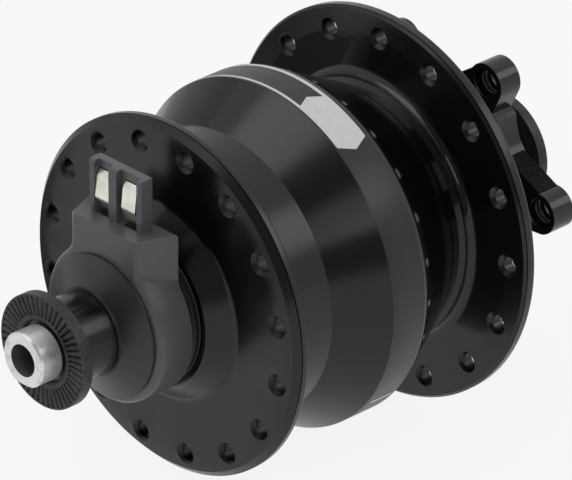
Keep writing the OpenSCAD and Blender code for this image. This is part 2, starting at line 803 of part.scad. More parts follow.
module cage(bore_d, out_d, w, ball_d, count, y0) {
    pitch = pitch_r(bore_d, out_d);
    half_t = 0.19 * ball_d;
    rail = 0.45;
    half_w = ball_d / 2 + rail;
    pocket = ball_d / 2 + 0.08;
    color("#c9a24a") difference() {
        ring(pitch - half_t, pitch + half_t, y0 + w / 2 - half_w, y0 + w / 2 + half_w);
        for (i = [0 : count - 1])
            at_angle(ball_angle(i, count)) translate([pitch - 2 * half_t, y0 + w / 2, 0])
                rotate([0, 90, 0]) cylinder(r = pocket, h = 4 * half_t);
    }
}

module bearing_seals(bore_d, out_d, w, ball_d, y0) {
    pitch = pitch_r(bore_d, out_d);
    inset = 0.05;
    lip_gap = 0.12;
    color("#141516")
        for (y = [y0 + inset, y0 + w - inset - bearing_seal_t])
            ring(pitch - land_share * ball_d + lip_gap, pitch + land_share * ball_d,
                 y, y + bearing_seal_t);
}

module right_bearing_inner_ring() {
    inner_ring(right_bore_d, right_out_d, right_w, right_ball_d, right_bearing_y);
}

module right_bearing_outer_ring() {
    outer_ring(right_bore_d, right_out_d, right_w, right_ball_d, right_bearing_y);
}

module right_bearing_balls() {
    balls(right_bore_d, right_out_d, right_w, right_ball_d, right_ball_count, right_bearing_y);
}

module right_bearing_cage() {
    cage(right_bore_d, right_out_d, right_w, right_ball_d, right_ball_count, right_bearing_y);
}

module right_bearing_seals() {
    bearing_seals(right_bore_d, right_out_d, right_w, right_ball_d, right_bearing_y);
}

module left_bearing_inner_ring() {
    inner_ring(left_bore_d, left_out_d, left_w, left_ball_d, left_bearing_y);
}

module left_bearing_outer_ring() {
    outer_ring(left_bore_d, left_out_d, left_w, left_ball_d, left_bearing_y);
}

module left_bearing_balls() {
    balls(left_bore_d, left_out_d, left_w, left_ball_d, left_ball_count, left_bearing_y);
}

module left_bearing_cage() {
    cage(left_bore_d, left_out_d, left_w, left_ball_d, left_ball_count, left_bearing_y);
}

module left_bearing_seals() {
    bearing_seals(left_bore_d, left_out_d, left_w, left_ball_d, left_bearing_y);
}

// Concave fillets, as outline points that end on a flat face at y: the first starts on a
// cylinder of radius r, the second on a cone that would meet the face at radius r
fillet_steps = 6;
function fillet(r, y, radius, way) =
    [for (i = [0 : fillet_steps])
        let (a = 90 * i / fillet_steps)
            [r + radius * (1 - cos(a)), y + way * radius * (1 - sin(a))]];
function cone_fillet(r, y, radius, slope) =
    [for (i = [0 : fillet_steps])
        let (a = (90 - slope) * (1 - i / fillet_steps))
            [r + radius * (tan((90 - slope) / 2) - sin(a)), y - radius * (1 - cos(a))]];

// Places in the rotor's mount: a round web carries six lugs, with round valleys between them.
// Each lug leans on a straight rib that rises from the valley on one of its sides.
mount_y = rotor_y - lug_t;
screw_r = rotor_pcd / 2;
rib_foot = valley_r - rib_root;
rib_tip = screw_r + 1;
rib_lift = 0.15;
function rib_top(r) = lug_r + rib_lift + (screw_r - r) * tan(rib_slope);

module lugs() {
    for (i = [0 : 5])
        at_angle(lug_angle + i * 60) {
            block([web_r - past, mount_y, -lug_r], [screw_r, rotor_y, lug_r]);
            translate([screw_r, 0, 0]) bar(lug_r, mount_y, rotor_y);
            translate([0, rotor_y - rib_step, 0]) rotate([90, 0, 0])
                linear_extrude(height = lug_t - 2 * rib_step)
                polygon([[rib_foot, 0], [rib_foot, rib_top(rib_foot)],
                         [rib_tip, rib_top(rib_tip)], [rib_tip, 0]]);
        }
}

module valleys() {
    for (i = [0 : 5])
        at_angle(lug_angle + 30 + i * 60) translate([valley_r + valley_curve, 0, 0])
            bar(valley_curve, mount_y - past, rotor_y + past);
}

module hub_shell() {
    rim_y0 = left_flange_y + rim_draw / 2;
    rim_y1 = left_flange_back - rim_draw;
    rim_r = left_spoke_r + left_rim_w;
    flat_r = left_spoke_r - 1.5;
    ridge_r = root_r + 0.8;
    ridge_y = root_y + 0.6;
    throat_r = left_bore_r - 2;
    waist_r = root_r - 3.4;
    waist_y = left_flange_y - 3.4;
    stop_r = drum_bore_r - 0.8;
    collar_r = valley_r - collar_inset;
    mouth = 0.3;
    screw_chamfer = 0.4;
    color("#1a1b1d") difference() {
        union() {
            difference() {
                turned(concat(
                    [[drum_bore_r, right_flange_back], [neck_r, right_flange_back],
                     [neck_r, crease_y], [band_r, band_start], [band_r, band_end],
                     [root_r, root_y], [ridge_r, ridge_y]],
                    fillet(ridge_r, left_flange_y, left_flange_y - ridge_y, -1),
                    [[flat_r, left_flange_y], [rim_r - rim_chamfer, rim_y0],
                     [rim_r, rim_y0 + rim_chamfer], [rim_r, rim_y1 - rim_chamfer],
                     [rim_r - rim_chamfer, rim_y1], [flat_r, left_flange_back],
                     [collar_r, left_flange_back], [collar_r, mount_y], [web_r, mount_y],
                     [web_r, rotor_y], [left_bore_r + mouth, rotor_y],
                     [left_bore_r, rotor_y - mouth], [left_bore_r, left_bearing_y],
                     [throat_r, left_bearing_y], [throat_r, waist_y],
                     [waist_r, waist_y], [stop_r, shell_shoulder_y],
                     [drum_bore_r, shell_shoulder_y]]
                ));
                valleys();
            }
            lugs();
        }
        hole_circle(left_spoke_r, spoke_count, 0, spoke_hole_d, spoke_chamfer,
                    left_flange_y, left_flange_back);
        hole_circle(screw_r, 6, lug_angle, lug_hole_d, screw_chamfer, mount_y, rotor_y);
    }
}

// Groove for the cord seal between the end cap and the drum
cord_r = 0.5;
cap_groove_w = 1.4;
cap_groove_y = right_flange_back + 1.4;
cap_spigot_r = drum_bore_r - seat_gap;

module end_cap() {
    rim_y0 = right_flange_y + rim_draw;
    rim_r = right_spoke_r + right_rim_w;
    spigot_end = right_flange_back + spigot_len;
    spigot_in_r = cap_spigot_r - 2.4;
    groove_r = cap_spigot_r - 2.2 * cord_r;
    lip_in = 1.5;
    lip_r = right_bore_r - lip_in;
    lip_y = right_bearing_end + lip_in;
    nose_r = right_bore_r + boss_lip;
    boss_r = nose_r + boss_len * tan(boss_slope);
    color("#1a1b1d") difference() {
        turned(concat(
            [[right_bore_r, boss_y], [nose_r, boss_y]],
            cone_fillet(boss_r, right_flange_y, boss_fillet, boss_slope),
            [[right_spoke_r, right_flange_y], [rim_r - rim_chamfer, rim_y0],
             [rim_r, rim_y0 + rim_chamfer], [rim_r, right_flange_back - rim_chamfer],
             [rim_r - rim_chamfer, right_flange_back], [cap_spigot_r, right_flange_back],
             [cap_spigot_r, cap_groove_y], [groove_r, cap_groove_y],
             [groove_r, cap_groove_y + cap_groove_w], [cap_spigot_r, cap_groove_y + cap_groove_w],
             [cap_spigot_r, spigot_end], [spigot_in_r, spigot_end],
             [spigot_in_r, right_flange_back], [right_bore_r, lip_y], [lip_r, lip_y],
             [lip_r, right_bearing_end], [right_bore_r, right_bearing_end]]
        ));
        hole_circle(right_spoke_r, spoke_count, 180 / spoke_count, spoke_hole_d, spoke_chamfer,
                    right_flange_y, right_flange_back);
    }
}

module cap_seal() {
    color("#101112") translate([0, cap_groove_y + cap_groove_w / 2, 0]) rotate([-90, 0, 0])
        rotate_extrude() translate([cap_spigot_r - cord_r, 0]) circle(r = cord_r);
}

module flux_ring() {
    color("#5c6065") ring(iron_r, drum_bore_r - seat_gap, shell_shoulder_y - flux_len,
                          shell_shoulder_y);
}

module magnets() {
    color("#9ea3a8") difference() {
        ring(magnet_r, iron_r - seat_gap, shell_shoulder_y - flux_len, shell_shoulder_y);
        for (i = [0 : pole_count - 1])
            at_angle((i + 0.5) * 360 / pole_count)
                block([magnet_r - past, shell_shoulder_y - flux_len - past, -magnet_gap / 2],
                      [iron_r + past, shell_shoulder_y + past, magnet_gap / 2]);
    }
}

axle();
right_locknut();
left_locknut();
cone_washer();
connector_housing();
rear_contact();
front_contact();
lead_wires();
seal_ring();
seal_washer();
dust_shield();
stator_nut();
spacer_tube();
core_sleeve();
coil_bobbin();
coil_winding();
right_pole_plate();
left_pole_plate();
right_bearing_inner_ring();
right_bearing_outer_ring();
right_bearing_balls();
right_bearing_cage();
right_bearing_seals();
left_bearing_inner_ring();
left_bearing_outer_ring();
left_bearing_balls();
left_bearing_cage();
left_bearing_seals();
hub_shell();
end_cap();
cap_seal();
flux_ring();
magnets();
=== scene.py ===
# %% [markdown]
# # A hub dynamo in the studio
#
# A front bicycle hub that makes the current for a lamp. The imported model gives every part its
# place and size. This script dresses it: finishes for each part, the details that are too small
# for the frame, a studio, and a camera that stands where the photographer stood.
# Lengths are written in millimetres and turned into Blender's metres with MM.

# %% Load the frame
import math

import bmesh
import bpy
from mathutils import Matrix, Vector
from mathutils.geometry import delaunay_2d_cdt


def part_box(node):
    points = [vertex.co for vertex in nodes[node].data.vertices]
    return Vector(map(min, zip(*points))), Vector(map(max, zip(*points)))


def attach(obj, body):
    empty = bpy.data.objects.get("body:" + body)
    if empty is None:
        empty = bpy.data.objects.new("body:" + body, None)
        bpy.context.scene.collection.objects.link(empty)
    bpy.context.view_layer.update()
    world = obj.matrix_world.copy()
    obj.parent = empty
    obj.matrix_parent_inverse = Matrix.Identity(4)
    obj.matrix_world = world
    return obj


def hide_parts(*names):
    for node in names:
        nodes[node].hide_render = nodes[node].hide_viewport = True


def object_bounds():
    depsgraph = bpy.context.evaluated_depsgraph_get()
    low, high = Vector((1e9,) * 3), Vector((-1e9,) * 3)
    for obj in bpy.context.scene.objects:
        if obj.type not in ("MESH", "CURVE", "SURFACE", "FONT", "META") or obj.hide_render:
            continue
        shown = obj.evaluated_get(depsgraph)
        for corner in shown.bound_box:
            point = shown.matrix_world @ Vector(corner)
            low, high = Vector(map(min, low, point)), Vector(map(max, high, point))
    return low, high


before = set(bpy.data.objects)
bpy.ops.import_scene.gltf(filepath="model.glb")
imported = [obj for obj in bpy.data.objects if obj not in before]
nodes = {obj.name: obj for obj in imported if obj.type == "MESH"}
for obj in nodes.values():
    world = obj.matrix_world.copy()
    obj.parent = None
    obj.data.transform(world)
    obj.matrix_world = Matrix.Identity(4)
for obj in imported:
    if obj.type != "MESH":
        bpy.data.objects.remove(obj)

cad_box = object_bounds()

MM = 0.001
print("Parts in the frame:", len(nodes))

# %% [markdown]
# ## The hub's own directions
#
# The axle runs along Y. Looking from the connector's end, +X is to the right and +Z is up, so a
# place on a turned part is a radius, an angle from +X towards +Z, and a distance along Y.


# %% Places around the axle
def around(radius, degrees, y):
    """A point at a radius and angle round the axle, all in millimetres."""
    angle = math.radians(degrees)
    return Vector((radius * math.cos(angle), y, radius * math.sin(angle))) * MM


def box_mm(node):
    """A part's lowest and highest corner in millimetres."""
    low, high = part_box(node)
    return low / MM, high / MM


low, high = box_mm("hub_shell")
print("The drum reaches from", round(low.y, 2), "to", round(high.y, 2), "mm along the axle")

# %% [markdown]
# ## The camera
#
# The photograph was taken with a long lens from the connector's end, to the right and above.
# The lens could be guessed, but the hub's own circles fix it: their ellipses in the photograph
# give the direction, and the sizes of the two flanges give the distance.

# %% Set up the camera
CAMERA_PLACE = Vector((763.26, -733.74, 564.86))
CAMERA_TURN = math.radians(46.078)
CAMERA_RISE = math.radians(28.035)
CAMERA_ROLL = math.radians(0.333)
LENS_IN_PIXELS = 7685.8
IMAGE_WIDTH = 572
SENSOR_WIDTH = 36.0

away = Vector((
    math.sin(CAMERA_TURN) * math.cos(CAMERA_RISE),
    -math.cos(CAMERA_TURN) * math.cos(CAMERA_RISE),
    math.sin(CAMERA_RISE),
))
level_right = Vector((math.cos(CAMERA_TURN), math.sin(CAMERA_TURN), 0.0))
level_up = away.cross(level_right)
right = level_right * math.cos(CAMERA_ROLL) + level_up * math.sin(CAMERA_ROLL)
up = away.cross(right)

camera_data = bpy.data.cameras.new("camera")
camera_data.sensor_width = SENSOR_WIDTH
camera_data.lens = LENS_IN_PIXELS * SENSOR_WIDTH / IMAGE_WIDTH
camera_data.clip_start = 0.05
camera_data.clip_end = 20.0
camera = bpy.data.objects.new("camera", camera_data)
bpy.context.scene.collection.objects.link(camera)
axes = Matrix((right, up, away)).transposed().to_4x4()
camera.matrix_world = Matrix.Translation(CAMERA_PLACE * MM) @ axes
bpy.context.scene.camera = camera
bpy.context.scene.view_settings.view_transform = "Standard"
print("Lens:", round(camera_data.lens, 1), "mm")

# %% [markdown]
# ## Finishes as node trees
#
# Each finish is one Principled shader with a few nodes in front of it. Two small helpers keep
# the trees readable. The first adds a node to any tree, and sets or links its inputs. The second
# is a material with a short name for each step that comes back often. Values that are the same
# all over are set on the shader itself.


# %% A helper for nodes
def add_node(tree, kind, inputs=None, **settings):
    """Adds a node to a tree. An input is a value, or the output that is linked to it."""
    node = tree.nodes.new(kind)
    for key, value in settings.items():
        setattr(node, key, value)
    for key, value in (inputs or {}).items():
        if isinstance(value, bpy.types.NodeSocket):
            tree.links.new(value, node.inputs[key])
        else:
            node.inputs[key].default_value = value
    return node


# %% A helper for finishes
QUARTER_TURN = 0.25


class Finish:
    """A material with one Principled shader and short ways to add nodes in front of it."""

    def __init__(self, name, **values):
        self.material = bpy.data.materials.new(name)
        self.material.use_nodes = True
        self.tree = self.material.node_tree
        self.shader = self.tree.nodes["Principled BSDF"]
        for socket, value in values.items():
            self.shader.inputs[socket.replace("_", " ")].default_value = value
        self.place = self.add("TexCoord").outputs["Object"]

    def add(self, kind, inputs=None, **settings):
        """Adds a shader node."""
        return add_node(self.tree, "ShaderNode" + kind, inputs, **settings)

    def sum(self, operation, first, second=0.0, third=0.0):
        """One step of arithmetic."""
        inputs = {0: first, 1: second, 2: third}
        return self.add("Math", inputs, operation=operation).outputs[0]

    def ramp(self, value, low, high, start=0.0, end=1.0):
        """Maps low..high to start..end, held at both ends."""
        inputs = {"Value": value, "From Min": low, "From Max": high,
                  "To Min": start, "To Max": end}
        return self.add("MapRange", inputs).outputs["Result"]

    def noise(self, vector, scale, detail=3.0, roughness=0.5):
        """Cloudy noise from 0 to 1 in space."""
        inputs = {"Vector": vector, "Scale": scale, "Detail": detail, "Roughness": roughness}
        return self.add("TexNoise", inputs).outputs["Fac"]

    def lines(self, value, scale, detail=2.0):
        """Noise along one number: fine lines wherever that number changes."""
        inputs = {"W": value, "Scale": scale, "Detail": detail}
        return self.add("TexNoise", inputs, noise_dimensions="1D").outputs["Fac"]

    def blend(self, factor, first, second):
        """A mix of two colours. Its inputs go by number, because their names repeat."""
        inputs = {0: factor, 6: first, 7: second}
        return self.add("Mix", inputs, data_type="RGBA").outputs[2]

    def feed(self, **outputs):
        """Links outputs to the shader's sockets."""
        for socket, output in outputs.items():
            self.tree.links.new(output, self.shader.inputs[socket.replace("_", " ")])

    def bump(self, height, depth, strength=1.0):
        """Small relief, with its depth in millimetres."""
        inputs = {"Height": height, "Distance": depth * MM, "Strength": strength}
        self.feed(Normal=self.add("Bump", inputs).outputs["Normal"])

    def turned_coordinates(self):
        """Radius and distance along the axle, in millimetres, and their sum for turning lines."""
        parts = self.add("SeparateXYZ", {"Vector": self.place}).outputs
        flat = self.add("CombineXYZ", {"X": parts["X"], "Z": parts["Z"]}).outputs[0]
        length = self.add("VectorMath", {0: flat}, operation="LENGTH").outputs["Value"]
        radius = self.sum("DIVIDE", length, MM)
        along = self.sum("DIVIDE", parts["Y"], MM)
        return radius, along, self.sum("ADD", radius, along)

    def along_the_lathe(self, drilled=None):
        """Turns the gloss to run across the turning lines, and along the axle in drilled holes."""
        axle = (0.0, 1.0, 0.0)
        around_axle = self.add(
            "VectorMath", {0: self.place, 1: axle}, operation="CROSS_PRODUCT"
        ).outputs["Vector"]
        if drilled:
            inputs = {0: drilled, 4: around_axle, 5: axle}
            around_axle = self.add("Mix", inputs, data_type="VECTOR").outputs[1]
        tangent = self.add(
            "VectorTransform", {"Vector": around_axle},
            vector_type="VECTOR", convert_from="OBJECT", convert_to="WORLD",
        ).outputs[0]
        self.shader.inputs["Anisotropic Rotation"].default_value = QUARTER_TURN
        self.feed(Tangent=tangent)


def grey(value):
    """A neutral grey from its linear value."""
    return (value, value, value, 1.0)


def wear(nodes_named, finish):
    """Gives CAD parts their finish."""
    for name in nodes_named:
        materials = nodes[name].data.materials
        for slot in range(len(materials)):
            materials[slot] = finish.material
    print(finish.material.name, "on", ", ".join(nodes_named))


# %% [markdown]
# ## Black anodised aluminium
#
# The drum and both flanges are forged, turned on a lathe and dyed black. The tool leaves fine
# rings, so a highlight smears across them and fans out on the flat faces. Bump alone would
# sparkle, so the shader's own anisotropy carries the fans and a little bump the rings. The band
# round the drum is ground even and a little matt, so it looks lighter than the brushed cones,
# and the forged lugs are duller still. In the holes the gloss runs along the axle instead.

# %% Places on the drum and the flanges
# Millimetres, and degrees for the first lug's angle. A ring of spoke holes is given by the radius
# of its circle and the angle of its first hole in radians.
BAND_Y = (-3.45, 3.21)
BAND_RADIUS = 28.7
MARKED_RADIUS = 18.0
FLANGE_FROM = 20.0
LUG_ZONE = 34.0
LUG_COUNT, LUG_CIRCLE, LUG_ANGLE = 6, 22.0, 3.75
LUG_STEP = 360 / LUG_COUNT
THREAD_OUTER, THREAD_INNER, SCREW_REACH = 2.5, 2.1, 2.6
SPOKE_COUNT, SPOKE_REACH = 16, 1.95
DRUM_SPOKES, CAP_SPOKES = (29.0, 0.0), (26.0, math.pi / SPOKE_COUNT)
print("Spoke holes:", SPOKE_COUNT, "in each flange. Lugs:", LUG_COUNT)

# %% The anodised finish
DYE_AND_HOLE_SHADE, DYE_PALE = grey(0.0020), grey(0.0034)
BAND_GREY, LUG_GREY = grey(0.011), grey(0.012)
FINE_RINGS, BROAD_RINGS, FINE_SHARE = 16.0, 2.2, 0.8
CLOUDS = 90.0
FEED, MARKS_SHARE = 0.35, 0.35
RING_DEPTH, RING_STRENGTH, BAND_RELIEF = 0.002, 0.5, 0.35
BAND_ROUGHER, LUG_ROUGHER, HOLE_ROUGHER = 0.13, 0.06, 0.14
ROOT_SMOOTHER = 0.45


def drilled_zone(finish, radius, circle, count, first, reach):
    """Where holes parallel to the axle lie: one round spot for each, evenly round a circle."""
    parts = finish.add("SeparateXYZ", {"Vector": finish.place}).outputs
    angle = finish.sum("ARCTAN2", parts["Z"], parts["X"])
    step = 2 * math.pi / count
    turn = finish.sum("FLOORED_MODULO", finish.sum("SUBTRACT", angle, first - step / 2), step)
    turn = finish.sum("SUBTRACT", turn, step / 2)
    nearness = finish.sum("MULTIPLY", finish.sum("COSINE", turn), 2 * circle)
    distance = finish.sum("MULTIPLY", radius, finish.sum("SUBTRACT", radius, nearness))
    return finish.sum("LESS_THAN", distance, reach ** 2 - circle ** 2)


def anodised(name, with_band, spokes):
    """Black anodised turned aluminium, with or without the smooth band."""
    finish = Finish(name, Anisotropic=0.6, IOR=1.47)
    radius, along, track = finish.turned_coordinates()
    circle, first = spokes
    drilled = drilled_zone(finish, radius, circle, SPOKE_COUNT, first, SPOKE_REACH)
    fine = finish.lines(track, FINE_RINGS, 4.0)
    broad = finish.lines(track, BROAD_RINGS, 2.0)
    cloud = finish.noise(finish.place, CLOUDS)
    rings = finish.sum("ADD", finish.sum("MULTIPLY", fine, FINE_SHARE),
                       finish.sum("MULTIPLY", broad, 1 - FINE_SHARE))
    gloss = finish.ramp(rings, 0.3, 0.7, 0.20, 0.27)
    gloss = finish.sum("ADD", gloss, finish.ramp(cloud, 0.3, 0.7, -0.02, 0.03))
    colour = finish.blend(finish.ramp(fine, 0.35, 0.65), DYE_AND_HOLE_SHADE, DYE_PALE)
    marks = finish.sum("SINE", finish.sum("MULTIPLY", track, 2 * math.pi / FEED))
    marks = finish.sum("MULTIPLY", marks, finish.sum("LESS_THAN", radius, MARKED_RADIUS))
    height = finish.sum("ADD", rings, finish.sum("MULTIPLY", marks, MARKS_SHARE))
    if with_band:
        inside = finish.sum("MULTIPLY",
                            finish.sum("GREATER_THAN", along, BAND_Y[0]),
                            finish.sum("LESS_THAN", along, BAND_Y[1]))
        band = finish.sum("MULTIPLY", inside, finish.sum("GREATER_THAN", radius, BAND_RADIUS))
        gloss = finish.sum("ADD", gloss, finish.sum("MULTIPLY", band, BAND_ROUGHER))
        root = finish.sum("MULTIPLY",
                          finish.sum("GREATER_THAN", along, BAND_Y[1]),
                          finish.sum("LESS_THAN", radius, BAND_RADIUS))
        gloss = finish.sum("MULTIPLY", gloss, finish.ramp(root, 0.0, 1.0, 1.0, ROOT_SMOOTHER))
        colour = finish.blend(band, colour, BAND_GREY)
        lugs = finish.sum("GREATER_THAN", along, LUG_ZONE)
        gloss = finish.sum("ADD", gloss, finish.sum("MULTIPLY", lugs, LUG_ROUGHER))
        colour = finish.blend(lugs, colour, LUG_GREY)
        screws = drilled_zone(finish, radius, LUG_CIRCLE, LUG_COUNT, math.radians(LUG_ANGLE),
                              SCREW_REACH)
        screws = finish.sum("MULTIPLY", screws, lugs)
        flange = finish.sum("GREATER_THAN", along, FLANGE_FROM)
        drilled = finish.sum("MAXIMUM", finish.sum("MULTIPLY", drilled, flange), screws)
        height = finish.sum("MULTIPLY", height, finish.ramp(band, 0.0, 1.0, 1.0, BAND_RELIEF))
    # Inside the holes the colour drops to the darkest dye, without the paler rings: painted shade
    # in the holes.
    colour = finish.blend(drilled, colour, DYE_AND_HOLE_SHADE)
    gloss = finish.sum("ADD", gloss, finish.sum("MULTIPLY", drilled, HOLE_ROUGHER))
    finish.feed(Roughness=gloss, Base_Color=colour)
    finish.bump(height, RING_DEPTH, RING_STRENGTH)
    finish.along_the_lathe(drilled)
    return finish


wear(["hub_shell"], anodised("anodised_drum", True, DRUM_SPOKES))
wear(["end_cap"], anodised("anodised_end_cap", False, CAP_SPOKES))


# %% [markdown]
# ## Moulded plastic
#
# The connector is injection moulded in grey nylon. Its skin copies the mould: slightly matt,
# with a very fine grain. The seal, the shield and the leads are black or coloured plastics and
# rubber with the same kind of skin, so one function makes them all.


# %% Plastics and rubber
MOULD_CLOUDS, MOULD_GRAIN = 120.0, 5200.0
PALER = 1.14


def moulded(name, colour, roughness, grain, ior=1.5):
    """Moulded skin: an even colour with faint clouds and a fine grain in millimetres."""
    finish = Finish(name, IOR=ior)
    cloud = finish.noise(finish.place, MOULD_CLOUDS, 4.0)
    skin = finish.noise(finish.place, MOULD_GRAIN, 2.0)
    pale = tuple(channel * PALER for channel in colour[:3]) + (1.0,)
    finish.feed(
        Base_Color=finish.blend(finish.ramp(cloud, 0.3, 0.7), colour, pale),
        Roughness=finish.ramp(cloud, 0.3, 0.7, roughness - 0.04, roughness + 0.05),
    )
    finish.bump(skin, grain)
    return finish


wear(["connector_housing"], moulded("grey_nylon", (0.100, 0.102, 0.107, 1.0), 0.36, 0.004))
wear(["dust_shield"], moulded("black_nylon", grey(0.012), 0.4, 0.01))
wear(["coil_bobbin"], moulded("bobbin_nylon", (0.62, 0.58, 0.47, 1.0), 0.45, 0.01))
wear(["lead_wires"], moulded("lead_insulation", (0.28, 0.022, 0.016, 1.0), 0.4, 0.006))
wear(["seal_ring", "cap_seal", "right_bearing_seals", "left_bearing_seals"],
     moulded("black_rubber", grey(0.004), 0.5, 0.008))

# %% [markdown]
# ## Bare metal
#
# The axle's end is bare aluminium, turned bright, with fine rings and faint smears. Hardened
# bearing steel is polished, soft iron is dull, and the bearings' cages are brass. They differ
# only in colour, gloss and the strength of their lines, so one function makes them all.


# %% A turned or drawn metal
STAINS = 260.0
DULLER = 0.8


def metal(name, colour, roughness, spread=0.06, line_scale=9.0, anisotropic=0.5, depth=0.004):
    """Metal with rings from turning, faint stains and a gloss that varies between them."""
    finish = Finish(name, Metallic=1.0, Anisotropic=anisotropic)
    track = finish.turned_coordinates()[2]
    rings = finish.lines(track, line_scale, 4.0)
    stain = finish.noise(finish.place, STAINS, 4.0)
    dull = tuple(channel * DULLER for channel in colour[:3]) + (1.0,)
    finish.feed(
        Base_Color=finish.blend(finish.ramp(stain, 0.35, 0.75), colour, dull),
        Roughness=finish.sum(
            "ADD",
            finish.ramp(rings, 0.3, 0.7, roughness - spread, roughness + spread),
            finish.ramp(stain, 0.4, 0.8, 0.0, 0.08),
        ),
    )
    finish.bump(rings, depth)
    finish.along_the_lathe()
    return finish


END_FACE, BORE_RADIUS, ZONE_EDGE = 50.0, 2.65, 0.02
ALUMINIUM = (0.92, 0.92, 0.93, 1.0)


def bright_axle():
    """Bare aluminium outside the locknuts. Inside them and in the bore the axle is painted dark
    and not metallic: painted shade.
    """
    finish = metal("bright_axle", ALUMINIUM, 0.3, anisotropic=0.8, depth=0.008)
    radius, along, _ = finish.turned_coordinates()
    nut_shade = finish.sum("LESS_THAN", finish.sum("ABSOLUTE", along), END_FACE - ZONE_EDGE)
    bore = finish.sum("LESS_THAN", radius, BORE_RADIUS + ZONE_EDGE)
    smear = finish.noise(finish.place, 900.0, 5.0, 0.6)
    bare = finish.blend(finish.ramp(smear, 0.5, 0.85), ALUMINIUM, grey(0.45))
    finish.feed(
        # Painted shade: dark grey where the nuts cover the axle, and a somewhat lighter dark grey
        # in the bore.
        Base_Color=finish.blend(bore, finish.blend(nut_shade, bare, grey(0.03)), grey(0.12)),
        Metallic=finish.ramp(finish.sum("MAXIMUM", nut_shade, bore), 0.0, 1.0, 0.7, 0.0),
    )
    return finish


wear(["axle"], bright_axle())
wear(["spacer_tube", "stator_nut", "seal_washer"],
     metal("bright_metal", (0.6, 0.6, 0.61, 1.0), 0.3))
# The right bearing's outer ring is painted near-black: painted shade on a ring that sits in shadow
# inside the boss.
wear(["right_bearing_outer_ring"], metal("blued_steel", grey(0.02), 0.3, 0.03))
wear(["right_bearing_inner_ring", "right_bearing_balls",
      "left_bearing_inner_ring", "left_bearing_outer_ring", "left_bearing_balls"],
     metal("bearing_steel", (0.6, 0.6, 0.62, 1.0), 0.14, 0.03))
wear(["right_bearing_cage", "left_bearing_cage"],
     metal("cage_brass", (0.72, 0.5, 0.2, 1.0), 0.3))
wear(["core_sleeve", "right_pole_plate", "left_pole_plate", "flux_ring"],
     metal("soft_iron", (0.3, 0.29, 0.28, 1.0), 0.42, line_scale=5.0))

# %% [markdown]
# ## Wire, magnets and springs
#
# The coil is wound side by side, so its copper shows round ridges under clear enamel. The magnets
# are ground ferrite. The contact springs are drawn strip with a silver plate that tarnishes. Each
# has one pattern of its own, so each gets a small function.

# %% Enamelled wire, magnets and contact springs
WIRE_PITCH = 0.36


def enamelled_wire():
    """Copper wire wound side by side: round ridges along the axle under clear enamel."""
    finish = Finish("enamelled_copper", Metallic=1.0, Roughness=0.3, Coat_Weight=0.5)
    along = finish.turned_coordinates()[1]
    turn = finish.sum("MULTIPLY", along, 2 * math.pi / WIRE_PITCH)
    ridge = finish.sum("SINE", turn)
    stain = finish.noise(finish.place, 200.0)
    finish.feed(Base_Color=finish.blend(stain, (0.62, 0.2, 0.07, 1.0), (0.75, 0.3, 0.12, 1.0)))
    finish.bump(ridge, 0.05)
    return finish


def sintered_magnet():
    """Ferrite: dark grey, dull and grainy, ground on its faces."""
    finish = Finish("sintered_magnet", Metallic=0.3)
    grain = finish.noise(finish.place, 2400.0, 3.0)
    finish.feed(
        Base_Color=finish.blend(grain, grey(0.035), grey(0.08)),
        Roughness=finish.ramp(grain, 0.3, 0.7, 0.45, 0.65),
    )
    finish.bump(grain, 0.01)
    return finish


def plated_spring():
    """Silver plate on a rolled strip: drawn lines along it and a faint warm tarnish."""
    finish = Finish("silver_plate", Metallic=1.0)
    parts = finish.add("SeparateXYZ", {"Vector": finish.place}).outputs
    drawn = finish.lines(finish.sum("DIVIDE", parts["X"], MM), 16.0, 3.0)
    tarnish = finish.noise(finish.place, 420.0, 3.0)
    finish.feed(
        Base_Color=finish.blend(finish.ramp(tarnish, 0.4, 0.8), (0.9, 0.9, 0.87, 1.0),
                                (0.72, 0.69, 0.55, 1.0)),
        Roughness=finish.ramp(drawn, 0.3, 0.7, 0.26, 0.4),
    )
    finish.bump(drawn, 0.004)
    return finish


wear(["coil_winding"], enamelled_wire())
wear(["magnets"], sintered_magnet())
spring_plate = plated_spring()
wear(["rear_contact", "front_contact"], spring_plate)

# %% [markdown]
# ## The locknuts and the cone washer
#
# The locknut's serrated face bites into the fork, so it is left as dark phosphated steel, while
# its hub and the cone washer are polished and blacked. One finish covers the nut, and the
# distance along the axle tells the two zones apart.

# %% Blacked steel
NUT_DISC_THICKNESS, DISC_EDGE = 1.8, 0.05
DISC_FROM = abs(box_mm("right_locknut")[0].y) - NUT_DISC_THICKNESS
print("The locknut's disc starts at", round(DISC_FROM, 2), "mm from the middle")


def blacked_nut():
    """Blacked steel: glossy on the hub, dull and paler on the serrated disc."""
    finish = Finish("blacked_locknut", Anisotropic=0.3, IOR=1.44)
    radius, along, track = finish.turned_coordinates()
    disc = finish.sum("GREATER_THAN", finish.sum("ABSOLUTE", along), DISC_FROM - DISC_EDGE)
    rings = finish.lines(track, 9.0, 3.0)
    stain = finish.noise(finish.place, 900.0, 4.0)
    disc_colour = finish.blend(finish.ramp(stain, 0.3, 0.7), grey(0.03), grey(0.065))
    finish.feed(
        Base_Color=finish.blend(disc, grey(0.003), disc_colour),
        Metallic=finish.sum("MULTIPLY", disc, 0.55),
        Roughness=finish.sum("ADD", finish.ramp(rings, 0.3, 0.7, 0.16, 0.24),
                             finish.sum("MULTIPLY", disc, 0.25)),
    )
    finish.bump(rings, 0.003)
    finish.along_the_lathe()
    return finish


def blacked_cone():
    """The cone washer: turned, polished and blacked."""
    finish = Finish("blacked_cone", Anisotropic=0.45, IOR=1.5)
    track = finish.turned_coordinates()[2]
    rings = finish.lines(track, 12.0, 4.0)
    finish.feed(
        Base_Color=finish.blend(rings, grey(0.022), grey(0.032)),
        Roughness=finish.ramp(rings, 0.3, 0.7, 0.26, 0.34),
    )
    finish.bump(rings, 0.003)
    finish.along_the_lathe()
    return finish


wear(["right_locknut", "left_locknut"], blacked_nut())
wear(["cone_washer"], blacked_cone())


